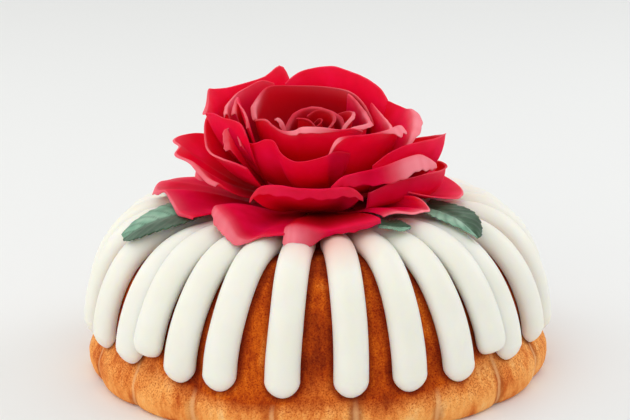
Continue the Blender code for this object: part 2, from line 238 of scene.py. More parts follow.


# The crust beside each rope is darker, partly where the icing has soaked into it and partly painted
# contact shadow of the rope, so the sponge needs the layout of the ropes.
# From the left of the front round to the right: azimuth at the tip and at the crest in degrees,
# height of the tip in mm, and whether the rope laps over its neighbours
FRONT_ROPES = (
    (-68, -64.5, 22, False), (-53.5, -49.5, 22.5, False), (-45.5, -41.5, 30, True),
    (-35.5, -31, 21.5, False), (-24.2, -20.5, 21, False), (-8.6, -7, 20.5, False),
    (7.6, 8, 20.5, False), (22, 21, 20.5, False), (35.8, 32, 20.5, False),
    (46.5, 42.5, 29, True), (54.2, 50, 22, False), (69, 65, 22, False),
)
BACK_ROPES = 16
BACK_ROPE_JITTER = 1.3
LAPPED_BACK_ROPES = (5, 11)
BACK_TIP_HEIGHT = 21
BACK_TIP_JITTER = (-1.5, 2.5)
LAPPED_TIP_LIFT = 8
ROPE_WIDTH = 17.2 * MM
ROPE_WIDTH_AT_CREST = 16.2 * MM
ROPE_WIDTH_AT_HOLE = 8.5 * MM
ROPE_HEIGHT = 9.4 * MM
ROPE_HEIGHT_AT_HOLE = 6 * MM
ROPE_SEAT = 0.9 * MM
ROPE_START_RADIUS = 42 * MM
ROPE_LOWEST_TIP = 18 * MM
ROPE_FULL_WIDTH_AT = 1 / 1.3
# Width of the darkening beside a rope: partly soaked icing, partly painted contact shadow.
SOAK_AND_SHADOW_WIDTH = 4.5 * MM


def rope_list():
    """Tip azimuth, crest azimuth, tip height and lap of every rope, in order round the cake."""
    draw = random.Random(7)
    ropes = list(FRONT_ROPES)
    start = FRONT_ROPES[-1][0]
    step = (360 + FRONT_ROPES[0][0] - start) / (BACK_ROPES + 1)
    for i in range(1, BACK_ROPES + 1):
        laps = i in LAPPED_BACK_ROPES
        azimuth = start + step * i + draw.uniform(-BACK_ROPE_JITTER, BACK_ROPE_JITTER) * (not laps)
        height = BACK_TIP_HEIGHT + draw.uniform(*BACK_TIP_JITTER) + LAPPED_TIP_LIFT * laps
        ropes.append((azimuth, start + step * i, height, laps))
    return ropes


ROPES = rope_list()
ROPE_START = meridian.distance_at_inner_radius(ROPE_START_RADIUS)
ROPE_LENGTH = meridian.distance_at_height(ROPE_LOWEST_TIP)


def rope_width(distance):
    """A rope swells from the mouth of the hole to the crest, and a little more down the side."""
    if distance > 0:
        down = distance / (ROPE_LENGTH * ROPE_FULL_WIDTH_AT)
        return blend(ROPE_WIDTH_AT_CREST, ROPE_WIDTH, ease(down))
    return blend(ROPE_WIDTH_AT_CREST, ROPE_WIDTH_AT_HOLE, ease(distance / ROPE_START))


def rope_azimuth(rope, distance):
    """A rope's azimuth swings a little between the crest and its tip."""
    return math.radians(blend(rope[1], rope[0], ease(distance / ROPE_LENGTH)))


def ropes_at(distance):
    """Middle azimuth, half width and overrun past the round tip of every rope near one distance."""
    spans = []
    for rope in ROPES:
        turn = distance - (meridian.distance_at_height(rope[2] * MM) - ROPE_WIDTH / 2)
        spans.append((rope_azimuth(rope, distance), rope_width(distance) / 2, max(turn, 0)))
    return spans


def soak_and_shadow_at(azimuth, radius, spans):
    """How dark the crust is beside the ropes, from soaked icing and painted contact shadow: 1 at a
    rope's edge, 0 away from it.
    """
    gaps = []
    for middle, half, overrun in spans:
        turn = (azimuth - middle + math.pi) % (2 * math.pi) - math.pi
        gaps.append(math.hypot(turn * radius, overrun) - half)
    return 1 - ease(min(gaps) / SOAK_AND_SHADOW_WIDTH)


def crease_at(azimuth):
    """How near an azimuth is to a crease between two flutes: 1 on the crease, 0 in mid flute."""
    return math.cos((azimuth - FLUTE_CREASE_AZIMUTH) * FLUTES) * 0.5 + 0.5


def sponge_profile():
    """The closed section: down the outside, in under the base, up the hole and out over its mouth."""
    outside = [meridian.at(meridian.along[-1] * i / SPONGE_DOWN)[:2] for i in range(SPONGE_DOWN + 1)]
    base = [(blend(SPONGE_UNDERSIDE_RADIUS, HOLE_RADIUS, i / SPONGE_BASE_STEPS), 0)
            for i in range(1, SPONGE_BASE_STEPS + 1)]
    tube = [(blend(HOLE_RADIUS, HOLE_MOUTH_RADIUS, ease(i / SPONGE_TUBE_STEPS)),
             HOLE_MOUTH_HEIGHT * i / SPONGE_TUBE_STEPS) for i in range(1, SPONGE_TUBE_STEPS)]
    mouth = [meridian.at(meridian.along[0] * (1 - i / SPONGE_MOUTH_DOWN))[:2]
             for i in range(SPONGE_MOUTH_DOWN)]
    return outside + base + tube + mouth


SPONGE_SECTION = sponge_profile()
SPONGE_ROPES = [ropes_at(meridian.along[-1] * i / SPONGE_DOWN) for i in range(SPONGE_DOWN + 1)]


def sponge_place(row, column):
    """A point of the sponge, how golden its crust is there, which is partly painted side light, and how
    dark it is beside the ropes, partly from soaked icing and partly painted contact shadow.
    """
    i = round(row * len(SPONGE_SECTION)) % len(SPONGE_SECTION)
    radius, height = SPONGE_SECTION[i]
    azimuth = column * 2 * math.pi
    fine = crease_at(azimuth) ** CREASE_FINE * CREASE_FINE_SHARE
    broad = crease_at(azimuth) ** CREASE_BROAD * (1 - CREASE_FINE_SHARE)
    upwards = ease(height / SPONGE_CREST_HEIGHT * FLUTE_FADE)
    depth = blend(FLUTE_DEPTH, FLUTE_DEPTH_AT_CROWN, upwards)
    outer = ease((radius - SPONGE_CREST_RADIUS) / FLUTE_SPREAD)
    point = polar(azimuth, radius, height)
    lumps = sum(noise.noise(point * count) * share for count, share in LUMPS_PER_METRE)
    shrink = depth * (broad + fine) * outer - lumps * LUMP_DEPTH * ease(height / SMOOTH_BASE)
    # The golden band rises towards the sides and back: partly paler crust, partly painted side light.
    edge = blend(*GOLDEN_AND_SIDE_LIT_HEIGHT, ease((1 - math.cos(azimuth)) * GOLDEN_AND_SIDE_LIT_RISE))
    golden_and_side_lit = 1 - ease((height - edge / 2) / edge)
    # Darkening beside the ropes: partly soaked icing, partly painted contact shadow.
    soaked_and_shaded = soak_and_shadow_at(azimuth, radius, SPONGE_ROPES[i]) if i <= SPONGE_DOWN else 0
    return polar(azimuth, radius - shrink, height), (golden_and_side_lit, soaked_and_shaded)


# Baked butter-cake crust: matt, saturated golden brown with dark pores up to a millimetre wide. The
# golden mark is 1 where the crust is golden: low down at the front, where the crust stayed paler, and
# higher up at the sides, where it is partly painted side light.
BROWNING_PER_METRE = 75
PATCHES_PER_METRE = 28
PORES_PER_METRE = 1050
SPECKS_PER_METRE = 950
SMOOTH_FOOT = (6 * MM, 15 * MM)
CREASE_BEND = 0.05
CREASE_SHIFT = 0.025
CREASE_TOP = (30 * MM, 16 * MM)

crust, crust_shader = new_material("baked_butter_cake_crust", Roughness=0.85, Specular_IOR_Level=0.12)
where = add_node(crust, "TexCoord")
place_of = add_node(crust, "SeparateXYZ", {"Vector": (where, "Object")})
drawn_out = add_node(crust, "Mapping", {"Vector": (where, "Object")}, {"Scale": (1, 1, 0.4)})
browning = add_node(crust, "TexNoise", {"Vector": (drawn_out, "Vector")},
                    {"Scale": BROWNING_PER_METRE, "Detail": 6, "Roughness": 0.66})
brown = add_node(crust, "ValToRGB", {"Fac": (browning, "Fac")},
                 stops=((0.34, "#8f3004"), (0.46, "#bc4c08"), (0.58, "#dd6c12"), (0.7, "#f6973a")))
golden_and_side_lit = add_node(crust, "ValToRGB", {"Fac": (browning, "Fac")},
                  stops=((0.34, "#ce6424"), (0.45, "#f09648"), (0.56, "#ffb766"), (0.7, "#ffcf8c")))
# Golden mark: paler crust low at the front, and painted side light higher up at the sides.
golden_and_side_lit_mark = add_node(crust, "Attribute", attribute_name="golden_and_side_lit")
patchy = add_node(crust, "TexNoise", {"Vector": (where, "Object")},
                  {"Scale": PATCHES_PER_METRE, "Detail": 3})
patchy_golden_and_side_lit = add_node(crust, "Math", {0: (golden_and_side_lit_mark, "Fac"), 1: (patchy, "Fac")}, operation="ADD")
golden_and_side_lit_share = add_node(crust, "MapRange", {"Value": (patchy_golden_and_side_lit, "Value")},
                        {"From Min": 0.6, "From Max": 1.25})
tone = add_node(crust, "MixRGB", {"Fac": (golden_and_side_lit_share, "Result"), "Color1": (brown, "Color"),
                                  "Color2": (golden_and_side_lit, "Color")})

# Pores, dark specks and pale grains. They fade out over the last centimetre above the base, where the
# batter was smooth.
open_crumb = add_node(crust, "MapRange", {"Value": (place_of, "Z")},
                      {"From Min": SMOOTH_FOOT[0], "From Max": SMOOTH_FOOT[1],
                       "To Min": 0.12, "To Max": 0.75})
pores = add_node(crust, "TexVoronoi", {"Vector": (where, "Object")},
                 {"Scale": PORES_PER_METRE, "Randomness": 1})
pore_shade = add_node(crust, "ValToRGB", {"Fac": (pores, "Distance")},
                      stops=((0.1, "#a4582c"), (0.28, "#e8c0a0"), (0.44, "#ffffff")))
pored = add_node(crust, "MixRGB", {"Fac": (open_crumb, "Result"), "Color1": (tone, "Color"),
                                   "Color2": (pore_shade, "Color")}, blend_type="MULTIPLY")
speck = add_node(crust, "TexNoise", {"Vector": (where, "Object")},
                 {"Scale": SPECKS_PER_METRE, "Detail": 3, "Roughness": 0.7})
speck_shade = add_node(crust, "ValToRGB", {"Fac": (speck, "Fac")},
                       stops=((0.36, "#c07a50"), (0.5, "#f4e6da"), (0.64, "#ffffff")))
specked = add_node(crust, "MixRGB", {"Fac": (open_crumb, "Result"), "Color1": (pored, "Color"),
                                     "Color2": (speck_shade, "Color")}, blend_type="MULTIPLY")
grain = add_node(crust, "ValToRGB", {"Fac": (speck, "Fac")}, stops=((0.58, "#000000"), (0.7, "#4a2c10")))
grained = add_node(crust, "MixRGB", {"Fac": (open_crumb, "Result"), "Color1": (specked, "Color"),
                                     "Color2": (grain, "Color")}, blend_type="ADD")

# Creases of the pan, in painted light and shade: a pale line 2 mm wide on the crease, a painted
# highlight that is strongest where the crust is golden, beside a red-brown band 8 mm wide, painted shade
# in the crease. They wander a little with the patches of the crust, and some are stronger than others.
towards_front = add_node(crust, "Math", {0: (place_of, "Y")}, {1: -1}, operation="MULTIPLY")
bearing = add_node(crust, "Math", {0: (place_of, "X"), 1: (towards_front, "Value")}, operation="ARCTAN2")
bent = add_node(crust, "Math", {0: (patchy, "Fac"), 2: (bearing, "Value")}, {1: CREASE_BEND},
                operation="MULTIPLY_ADD")
from_crease = add_node(crust, "Math", {0: (bent, "Value")}, {1: FLUTE_CREASE_AZIMUTH + CREASE_SHIFT},
                       operation="SUBTRACT")
phase = add_node(crust, "Math", {0: (from_crease, "Value")}, {1: FLUTES}, operation="MULTIPLY")
nearness = add_node(crust, "Math", {0: (phase, "Value")}, operation="COSINE")
low_down = add_node(crust, "MapRange", {"Value": (place_of, "Z")},
                    {"From Min": CREASE_TOP[0], "From Max": CREASE_TOP[1]})
# Painted shade: a red-brown band along each crease, low down.
crease_painted_shade = add_node(crust, "MapRange", {"Value": (nearness, "Value")},
                {"From Min": 0.8, "From Max": 0.97, "To Max": 0.75})
uneven = add_node(crust, "MapRange", {"Value": (patchy, "Fac")}, {"From Min": 0.4, "From Max": 0.65})
uneven_low = add_node(crust, "Math", {0: (uneven, "Result"), 1: (low_down, "Result")},
                      operation="MULTIPLY")
crease_painted_shade_low = add_node(crust, "Math", {0: (crease_painted_shade, "Result"), 1: (uneven_low, "Value")}, operation="MULTIPLY")
crease_shaded = add_node(crust, "MixRGB", {"Fac": (crease_painted_shade_low, "Value"), "Color1": (grained, "Color")},
                  {"Color2": linear("#8f3410")})
# Painted highlight: a pale line on each crease, where the crust is golden.
crease_painted_highlight = add_node(crust, "MapRange", {"Value": (nearness, "Value")},
                {"From Min": 0.97, "From Max": 1, "To Max": 0.6})
crease_painted_highlight_share = add_node(crust, "Math", {0: (crease_painted_highlight, "Result"), 1: (golden_and_side_lit_share, "Result")},
                    operation="MULTIPLY")
crease_highlighted = add_node(crust, "MixRGB", {"Fac": (crease_painted_highlight_share, "Value"), "Color1": (crease_shaded, "Color")},
                 {"Color2": linear("#f2b981")})

# Crust beside the ropes: darker and browner, least where the crust is golden. The darkening is partly
# icing soaked into the crust and partly painted contact shadow of the ropes.
soaked_and_shaded_mark = add_node(crust, "Attribute", attribute_name="soaked_and_shaded")
half_golden_and_side_lit = add_node(crust, "Math", {0: (golden_and_side_lit_mark, "Fac")}, {1: 0.5}, operation="MULTIPLY")
soaked_and_shaded_less_golden = add_node(crust, "Math", {0: (soaked_and_shaded_mark, "Fac"), 1: (half_golden_and_side_lit, "Value")},
                        operation="SUBTRACT")
soaked_and_shaded_share = add_node(crust, "MapRange", {"Value": (soaked_and_shaded_less_golden, "Value")},
                        {"From Min": 0.1, "To Max": 0.75})
soaked_and_shaded_tone = add_node(crust, "MixRGB", {"Fac": (soaked_and_shaded_share, "Result"), "Color1": (crease_highlighted, "Color")},
                       {"Color2": linear("#9c4a1c")}, blend_type="MULTIPLY")
crust.node_tree.links.new(soaked_and_shaded_tone.outputs["Color"], crust_shader.inputs["Base Color"])
grit = add_node(crust, "Math", {0: (speck, "Fac"), 1: (pores, "Distance")}, operation="ADD")
crumb_bump = add_node(crust, "Bump", {"Height": (grit, "Value")},
                      {"Strength": 0.4, "Distance": 0.4 * MM})
crust.node_tree.links.new(crumb_bump.outputs["Normal"], crust_shader.inputs["Normal"])

sponge = grid_piece("sponge_crumb", len(SPONGE_SECTION), SPONGE_AROUND, sponge_place, crust,
                    closed_rows=True, closed_columns=True, marks=("golden_and_side_lit", "soaked_and_shaded"))
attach(sponge, "root")
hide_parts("sponge")

# Icing ropes.
# Cream cheese icing, piped through a plain round nozzle from the mouth of the hole, over the crown and
# down the side. It is stiff enough to keep its round back, and each rope ends in a round blob.
ROPE_LAP = 1.6 * MM
ROPE_SINK = 0.6 * MM
ROPE_OVERHANG = math.radians(24)
ROPE_STATIONS = 64
ROPE_ARC = 25
ROPE_BODY = 0.8
ROPE_SWINGS_PER_METRE = 26
ROPE_WIDTH_SWING = 0.03
ROPE_HEIGHT_SWING = 0.04
ROPE_SWAY = 0.5 * MM
ROPE_FLATNESS = 0.9
ROPE_SEED_STEP = 3.7


def make_rope(number, rope, material):
    """One rope: a round-backed section carried down the sponge, closing to a half round at the tip."""
    end = meridian.distance_at_height(rope[2] * MM)
    half_tip = ROPE_WIDTH / 2
    seed = Vector((number * ROPE_SEED_STEP, 0, 0))

    def place(down, around):
        if down < ROPE_BODY:
            distance = blend(ROPE_START, end - half_tip, down / ROPE_BODY)
        else:
            turn = (down - ROPE_BODY) / (1 - ROPE_BODY) * math.pi / 2
            distance = end - half_tip * (1 - math.sin(turn))
        tip = min((end - distance) / half_tip, 1)
        roundness = math.sqrt(max(1 - (1 - tip) ** 2, 0))
        spot = Vector((distance * ROPE_SWINGS_PER_METRE, 0, 0)) + seed
        width = rope_width(distance) * (1 + ROPE_WIDTH_SWING * noise.noise(spot))
        tall = blend(ROPE_HEIGHT, ROPE_HEIGHT_AT_HOLE, ease(distance / ROPE_START))
        tall *= 1 + ROPE_HEIGHT_SWING * noise.noise(spot + Vector((0, 5, 0)))
        azimuth = rope_azimuth(rope, distance)
        radius, height, normal = meridian.at(distance)
        angle = blend(-ROPE_OVERHANG, math.pi + ROPE_OVERHANG, around)
        low = math.sin(ROPE_OVERHANG)
        lift = (math.sin(angle) + low) / (1 + low) * tall * roundness ** ROPE_FLATNESS
        lift += ROPE_SEAT - ROPE_SINK + ROPE_LAP * rope[3] * roundness
        side = -math.cos(angle) * width / 2 * roundness
        azimuth += (side + ROPE_SWAY * noise.noise(spot + Vector((0, 0, 9)))) / radius
        return polar(azimuth, radius + normal[0] * lift, height + normal[1] * lift), ()

    return grid_piece(f"piped_icing_{number:02d}", ROPE_STATIONS, ROPE_ARC, place, material)


# Whipped cream cheese icing: smooth and softly glossy. It lets light in a few millimetres, so that its
# shade is warm and yellowish and not grey. Under the rose's front its colour is tinted red: painted
# light that stands for the red the silk casts on it.
ROSE_EDGE = (5 * MM, -76 * MM, 90 * MM)
ROSE_CAST_REACH = (32 * MM, 8 * MM)
CLOUDS_PER_METRE = 45
DRAGS_PER_METRE = 300

icing, icing_shader = new_material(
    "cream_cheese_icing", Roughness=0.42, IOR=1.45, Subsurface_Weight=0.8, Subsurface_Scale=6 * MM,
    Subsurface_Radius=(1.0, 0.85, 0.55), Specular_IOR_Level=0.35)
icing_where = add_node(icing, "TexCoord")
cloud = add_node(icing, "TexNoise", {"Vector": (icing_where, "Object")},
                 {"Scale": CLOUDS_PER_METRE, "Detail": 2})
cream = add_node(icing, "ValToRGB", {"Fac": (cloud, "Fac")}, stops=((0.3, "#ecece3"), (0.7, "#f0f0e9")))
# Painted red light cast by the rose, strongest near the rose's front edge.
rose_edge = add_node(icing, "VectorMath", {0: (icing_where, "Object")}, {1: ROSE_EDGE},
                     operation="DISTANCE")
near_rose = add_node(icing, "MapRange", {"Value": (rose_edge, "Value")},
                     {"From Min": ROSE_CAST_REACH[0], "From Max": ROSE_CAST_REACH[1], "To Max": 0.5})
painted_rose_cast = add_node(icing, "MixRGB", {"Fac": (near_rose, "Result"), "Color1": (cream, "Color")},
                {"Color2": linear("#e88a80")})
icing.node_tree.links.new(painted_rose_cast.outputs["Color"], icing_shader.inputs["Base Color"])
drag = add_node(icing, "TexNoise", {"Vector": (icing_where, "Object")},
                {"Scale": DRAGS_PER_METRE, "Detail": 2})
drag_bump = add_node(icing, "Bump", {"Height": (drag, "Fac")}, {"Strength": 0.08, "Distance": 0.3 * MM})
icing.node_tree.links.new(drag_bump.outputs["Normal"], icing_shader.inputs["Normal"])

for number, rope in enumerate(ROPES, 1):
    piece = make_rope(number, rope, icing)
    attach(piece, "root")
    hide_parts(f"icing_rope_{number:02d}")

# Rose petals.
# Each petal is cut from stiffened silk, dished over a hot iron and rolled back at its rim. The petals
# are stacked on the stem from the heart outwards. The rolled rims are paler: partly thinner dye and
# partly a painted sheen where they catch the light.
PETAL_THICKNESS = 0.5 * MM
PETAL_ROWS = 36
PETAL_COLUMNS = 49
PETAL_REACH = 0.42
LIP_FROM = 0.74
LIP_BEND = 2.6
LIP_BEND_SHARE = 0.6
PALE_FROM = 0.66
PALE_RUN = 0.2
HEADING_STEP = 0.02
SPREAD_CURVE = 0.8
PETAL_SEED_STEP = 7.3

# How the cloth departs from a plain shape: swings along the whole rim, and strength. The ripples'
# strength is in mm; the others are shares of the lip's length, of its roll and of its paleness
RAGGED_LIP = (14, 0.25)
UNEVEN_ROLL = (5, 0.2)
BROAD_RIPPLE = (4, 1.2)
FINE_RIPPLE = (9, 0.48)
DYE_STREAKS = (16, 0.2)
RIM_CALM = 0.6

# Each ring of petals: radius and height of its base in mm, angle there and at the rim in degrees, base
# share of the width, and where the painted shade at the foot of its petals begins and ends. cup_back and
# apron differ from cup and skirt only in their painted shade.
Ring = namedtuple("Ring", "radius height base_angle rim_angle base_width dark_from dark_to")
RINGS = {
    "bud": Ring(5, 109, 72, 96, 0.9, 1.3, 0.7),
    "inner": Ring(10.5, 104, 66, 88, 0.75, 1.1, 0.6),
    "cup": Ring(12, 101, 42, 82, 0.7, 0.76, 0.42),
    "cup_back": Ring(12, 101, 42, 82, 0.7, 1.15, 0.6),
    "second": Ring(13, 98, 34, 74, 0.5, 0.7, 0.4),
    "tall": Ring(14.5, 95.5, 26, 70, 0.5, 0.66, 0.3),
    "third": Ring(16, 93, 20, 52, 0.5, 0.64, 0.3),
    "fourth": Ring(17, 91, 16, 40, 0.5, 0.62, 0.25),
    "side": Ring(17, 91.5, 8, 86, 0.5, 0.62, 0.25),
    "low": Ring(18, 89, 8, 40, 0.6, 0.62, 0.3),
    "apron": Ring(18.5, 87, 8, 2, 0.7, 0.8, 0.6),
    "skirt": Ring(18.5, 87, 8, 2, 0.7, 0.45, 0.1),
}

# A petal: its ring; its rim from left to right seen from outside, as azimuth, radius and height of the
# fold; the length of the lip beyond the fold, the angle that the lip turns through and how pale it is,
# from thinner dye and painted sheen, each given evenly along the rim; then how wavy it is
Petal = namedtuple("Petal", "ring rim lips roll pale wave", defaults=((2,), (70,), (0.5,), 1.0))
FAN_CORNER_IN = 0.17
FAN_CORNER_DROP = 6


def fan(azimuth, half, radius, height):
    """The rim of a petal that the others hide in part: an arch, drawn in and lower at its corners."""
    return tuple((azimuth + half * u, radius * (1 - FAN_CORNER_IN * abs(u) ** 3),
                  height - FAN_CORNER_DROP * abs(u) ** 3) for u in (-1, -0.5, 0, 0.5, 1))


# From the middle outwards
PETALS = (
    Petal("inner",
          ((-112, 18, 128), (-104, 19, 132), (-90, 19, 133.5), (-74, 17.5, 132.5), (-60, 17, 127)),
          lips=(2.5, 3.5, 3), roll=(120,), pale=(0.9, 0.9, 0.3)),
    Petal("inner",
          ((64, 14, 124), (85, 14, 128.5), (118, 13.5, 132), (150, 13, 134.5), (185, 13, 136),
           (215, 13.5, 134.5), (240, 14, 131), (266, 14.5, 126)),
          lips=(2.5, 3, 3), roll=(90,), pale=(0.3, 0.15, 0.2, 0.1, 0.3)),
    Petal("cup",
          ((-92, 32, 133), (-59, 31, 137.5), (-46, 31, 135.5), (-33, 31.5, 133.5), (-20, 32, 134),
           (-12, 32, 136), (4, 32, 136), (23, 32, 134.5), (38, 31, 134), (54, 30, 131)),
          lips=(1.2, 1.2, 1.2, 1.5, 4, 5, 4.5, 1.2, 1, 1), roll=(160,),
          pale=(0.5, 0.5, 0.3, 0.4, 0.9, 1, 0.8, 0.1, 0.2, 0.4), wave=0.4),
    Petal("cup",
          ((33, 28, 132), (45, 27.5, 133), (62, 27.5, 132.5), (90, 27.5, 131), (112, 28, 132),
           (122, 28.5, 135), (132, 29, 138.5), (144, 30, 141.5)),
          lips=(2, 3.5, 4.5, 4.5, 3.5, 2.5), roll=(130,), pale=(0.7, 0.9, 0.8, 0.6, 0.4, 0.4), wave=0.4),
    Petal("cup_back",
          ((108, 32, 128), (120, 32.5, 133), (134, 33.5, 138.5), (149, 35, 142), (168, 35, 143.5),
           (196, 36, 144.5), (222, 35.5, 146), (234, 34, 144), (246, 33, 140.5), (260, 32, 138),
           (274, 31, 134)),
          lips=(1.5, 1.5, 1.5, 1.2, 1.2, 3, 4, 3), roll=(110,),
          pale=(0.2, 0.3, 0.5, 0.3, 0.1, 0.2, 0.8, 0.8), wave=0.5),
    Petal("second",
          ((58, 42, 130), (70, 41, 129), (88, 39, 129.5), (105, 37.5, 131.5), (117, 37, 134.5),
           (127, 38, 137)),
          lips=(2, 2.5, 3, 2, 1.2), roll=(130,), pale=(0.9, 1, 0.7, 0.2), wave=0.5),
    Petal("second",
          ((124, 47, 137), (131, 48, 141.5), (139, 48, 145), (148, 47.5, 148), (158, 47, 150.5),
           (169, 47, 152.5), (184, 46.5, 151), (193, 46, 148.5), (201, 45, 144)),
          lips=(1.2,), roll=(60,), pale=(0.1,), wave=0.5),
    Petal("second",
          ((-152, 48, 144.5), (-144, 50, 146.5), (-132, 49.5, 144.5), (-121, 49, 143), (-110, 48, 141),
           (-98, 47, 139.5), (-88, 46.5, 137)),
          lips=(1, 1, 1, 1.2, 2.5, 3.5), roll=(130,), pale=(0.4, 0.4, 0.5, 0.9, 1, 1), wave=0.3),
    Petal("tall",
          ((-58, 46, 124), (-52, 46, 127.5), (-43, 46, 128.5), (-34, 46, 131.5), (-28, 45.5, 131),
           (-23, 45.5, 125), (-15, 45.5, 121.5), (-7, 45.5, 121.5), (6, 45, 124), (14, 44, 126),
           (24, 43, 124)),
          lips=(1,), roll=(60,), pale=(0.05,), wave=0.15),
    Petal("tall",
          ((8, 43, 123), (13, 44.5, 131.5), (20, 45.5, 134), (33, 47, 134), (42, 47.5, 134),
           (50, 48, 134), (57, 48, 134.3), (64, 48, 134), (71, 47, 131.5)),
          lips=(1, 4, 1.5, 1, 1, 3.5, 7, 7, 3), roll=(125,),
          pale=(0.2, 0.9, 0.1, 0.05, 0.2, 0.7, 1, 1, 0.6), wave=0.1),
    Petal("tall",
          ((-166, 54, 142), (-161, 57.5, 151.5), (-150, 57.5, 146), (-128, 57.5, 144), (-112, 58, 146),
           (-102, 58, 147.5), (-97, 57.5, 141), (-90, 58, 137.5), (-80, 58, 139), (-70, 56.5, 141.5),
           (-60, 55, 141), (-52, 54, 141), (-46, 53, 139.5), (-44, 51, 133)),
          lips=(1.5, 1.2, 1, 1, 2, 2.5, 1, 1, 1), roll=(70,),
          pale=(0.7, 0.2, 0.05, 0.1, 0.5, 0.5, 0.1, 0.1, 0.1, 0.1), wave=0.3),
    Petal("third",
          ((-106, 57, 135), (-97, 58.5, 133), (-87, 58.5, 127.5), (-79, 58.5, 122.5), (-70, 58, 120.5),
           (-61, 57, 120), (-54, 56, 119.5), (-48, 55, 119), (-42, 53, 117)),
          lips=(1.2,), roll=(90,), pale=(0.1, 0.2, 0.6, 0.7, 0.2, 0.1), wave=0.4),
    Petal("third",
          ((8, 54, 110), (13, 56, 115), (19, 57, 117), (34, 60, 119.5), (47, 62, 122), (56, 63, 122),
           (63, 64, 119), (68, 66, 115)),
          lips=(3, 6, 9, 11, 10, 9, 4), roll=(130,), pale=(0.02, 0.02, 0.02, 0.05, 0.9, 1, 1, 1),
          wave=0.3),
    Petal("third",
          ((58, 53.5, 121), (66, 53, 126), (77, 52, 130.5), (90, 51.5, 133.5), (104, 52.5, 135),
           (116, 54, 133.5), (128, 56, 133.5), (138, 56, 134.5), (150, 55, 131)),
          lips=(1.5, 3, 5.5, 6.5, 4, 1.5, 1, 1, 1), roll=(90,),
          pale=(0.3, 0.8, 1, 1, 0.7, 0.1, 0.1, 0.1, 0.1), wave=0.5),
    Petal("fourth",
          ((-116, 60, 119), (-111, 68, 121), (-103, 73, 122), (-92, 75.5, 122.5), (-86, 72, 121),
           (-80, 74.5, 118.5), (-68, 69, 117), (-58, 66, 111), (-51, 64, 109)),
          lips=(1, 1, 1.5, 1.5, 3, 4), roll=(70,), pale=(0.1, 0.1, 0.7, 0.5, 0.7, 0.6), wave=0.5),
    Petal("side",
          ((34, 52, 118), (42, 55, 123.5), (52, 58, 126.5), (62, 61.5, 127), (72, 65.5, 126.5),
           (84, 69, 126), (93, 68.5, 123), (106, 66, 119), (118, 60, 115)),
          lips=(1,), roll=(40,), pale=(0.05, 0.05, 0.2, 0.6, 0.1), wave=0.5),
    Petal("fourth", fan(172, 40, 66, 120), lips=(4,), roll=(90,)),
    Petal("low",
          ((-34, 59, 104), (-28, 60.5, 110.5), (-19, 61, 112.5), (-9, 61, 111.5), (2, 61, 111),
           (12, 61, 111.5), (18, 60.5, 110), (23, 59, 105.5)),
          lips=(4, 6, 6.5, 6.5, 6, 4), roll=(120,), pale=(0.1, 0.03, 0.03, 0.1), wave=0.25),
    Petal("fourth", fan(140, 34, 66, 113), lips=(4,), roll=(90,)),
    Petal("skirt",
          ((-44, 74, 101), (-40, 77, 100.5), (-36, 79.5, 99), (-32, 82, 96.5), (-27, 86.5, 91.5),
           (-23, 87, 90.5), (-19, 84, 92.5), (-15, 81.5, 93), (-10, 78, 93)),
          lips=(4, 7, 8.5, 8.5, 6, 2.5, 1.5, 1.5, 1.5), roll=(55,),
          pale=(0.5, 0.6, 0.7, 0.7, 0.6, 0.2, 0.05, 0.05), wave=0.5),
    Petal("apron",
          ((-12, 76, 95), (-8.5, 78, 96.5), (-4.5, 78.5, 96), (3, 77, 94), (11, 76.5, 95.5),
           (18, 77.5, 97), (24, 78, 98.5)),
          lips=(10, 14.5, 13, 4, 4, 4, 3), roll=(50, 56, 60, 85, 90, 90, 90),
          pale=(0.7, 0.85, 0.45, 0.03, 0.03, 0.03, 0.05), wave=0.15),
    Petal("skirt",
          ((26, 75, 99), (31, 78, 100.5), (38, 78.5, 98.5), (43, 78, 98), (48, 77, 97.5),
           (49, 73, 100.5), (48, 68, 102.5)),
          lips=(1.5,), roll=(40,), pale=(0.3, 0.8, 1, 1, 0.2), wave=1.0),
    Petal("skirt",
          ((49, 62, 104), (57, 73, 101), (67, 78, 97.5), (76, 78.5, 96), (88, 77.5, 95),
           (101, 75.5, 95), (114, 73, 96)),
          lips=(1.2,), roll=(40,), pale=(0.1, 0.2, 0.6, 0.4, 0.1), wave=0.7),
    Petal("skirt",
          ((-124, 74, 92), (-114, 81, 94), (-104, 83, 96), (-96, 84.5, 98), (-88, 85, 98),
           (-80, 84.5, 99.5), (-72, 83, 102), (-65, 82, 98.5), (-57, 83.5, 96), (-48, 84.5, 96)),
          lips=(2, 3.5, 5, 5.5, 5, 3.5, 1.5, 2, 2.5, 1.5), roll=(80,),
          pale=(0.7, 1, 1, 1, 0.9, 0.5, 0.4, 0.8, 0.3, 0.1), wave=0.4),
    Petal("skirt", fan(129, 26, 78, 99), lips=(4,), roll=(60,), wave=1.6),
    Petal("skirt", fan(177, 30, 80, 96), lips=(3,), roll=(60,), wave=1.6),
    Petal("skirt", fan(-138, 28, 79, 99), lips=(4,), roll=(60,), wave=1.6),
)

